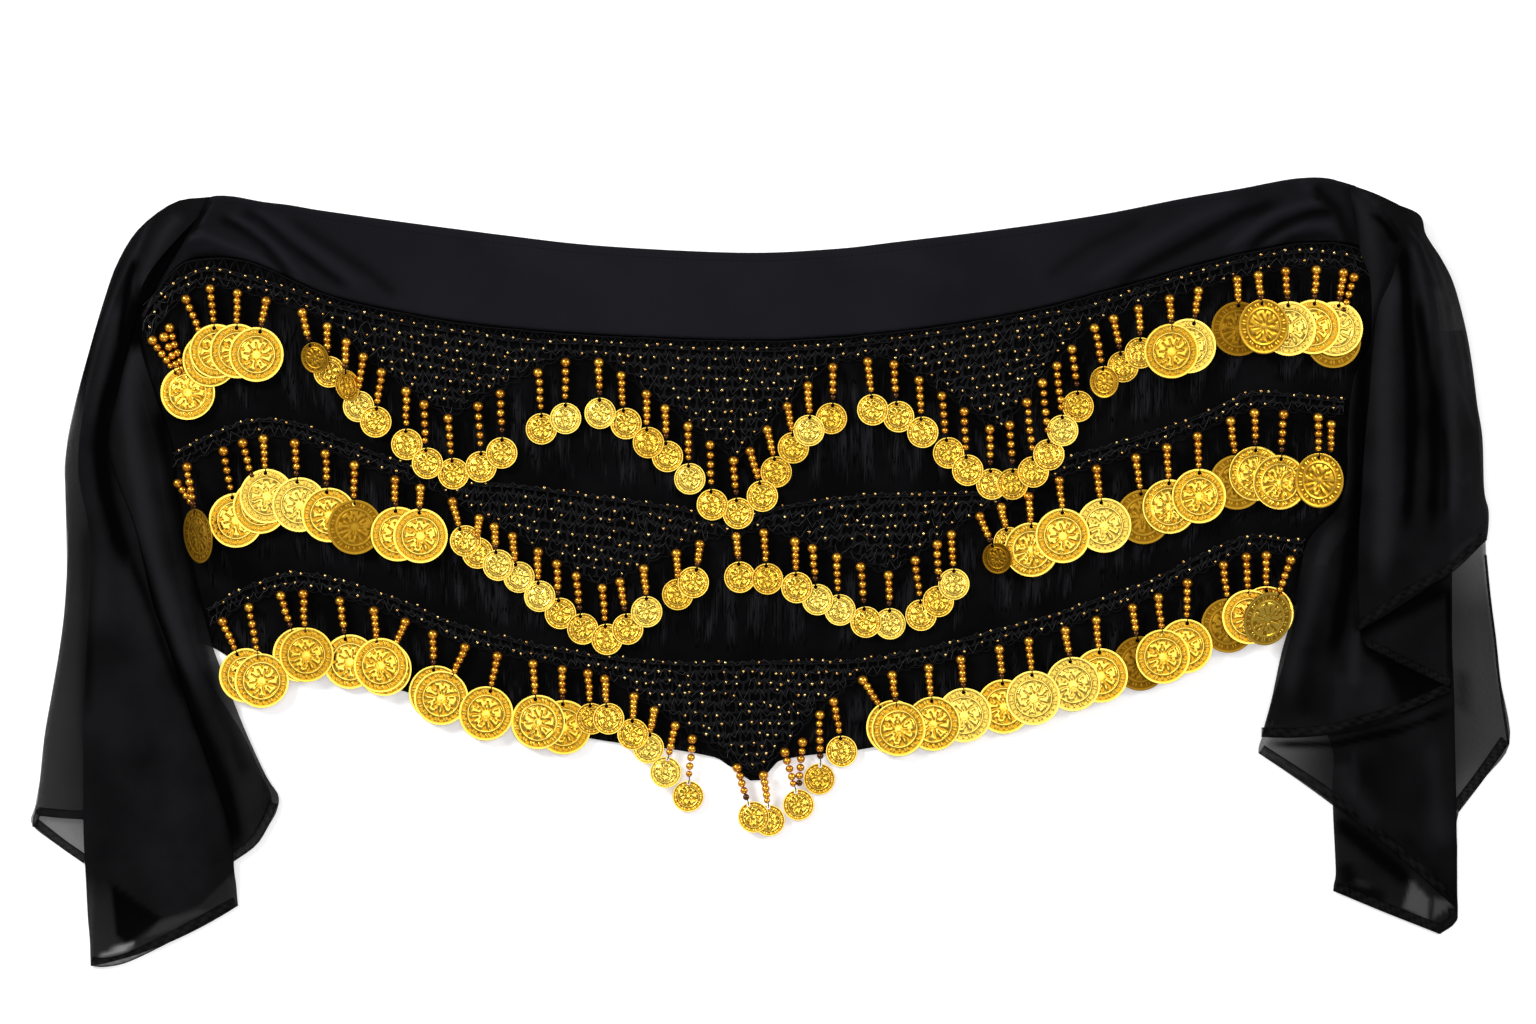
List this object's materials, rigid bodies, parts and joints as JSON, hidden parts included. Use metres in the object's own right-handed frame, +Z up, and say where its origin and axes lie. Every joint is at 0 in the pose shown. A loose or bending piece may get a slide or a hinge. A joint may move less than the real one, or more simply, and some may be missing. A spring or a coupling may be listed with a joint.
{
  "type": "belly dance hip scarf",
  "caption": "Hip scarf laid flat: smooth waistband, gathered chiffon panel with beaded crochet nets, fringes of beads and coins, and long side ties folded down.",
  "frame": {"origin": "middle of the laid scarf's outline, on the surface that it lies on", "axes": "+X along the scarf's length, to the right as it is seen from above with its waist edge at the far side; +Y towards the waist edge; +Z up from the surface"},
  "size_m": [0.857, 0.4571, 0.0293],
  "materials": {
    "waistband_cloth": "matte woven cloth, folded double",
    "chiffon": "sheer matte chiffon",
    "crochet": "open crochet with small gold beads",
    "gold": "bright gold-coloured stamped metal and glazed beads"
  },
  "bodies": {
    "root": {"waistband": "waistband_cloth", "body_panel": "chiffon", "net_top": "crochet", "net_middle": "crochet", "net_bottom": "crochet", "fringe_top": "gold", "fringe_middle": "gold", "fringe_bottom": "gold", "left_tie_back": "chiffon", "left_tie_side": "chiffon", "left_tie_front": "chiffon", "right_tie_back": "chiffon", "right_tie_lower": "chiffon", "right_tie_middle": "chiffon", "right_tie_flap": "chiffon", "right_tie_front": "chiffon"}
  },
  "joints": []
}
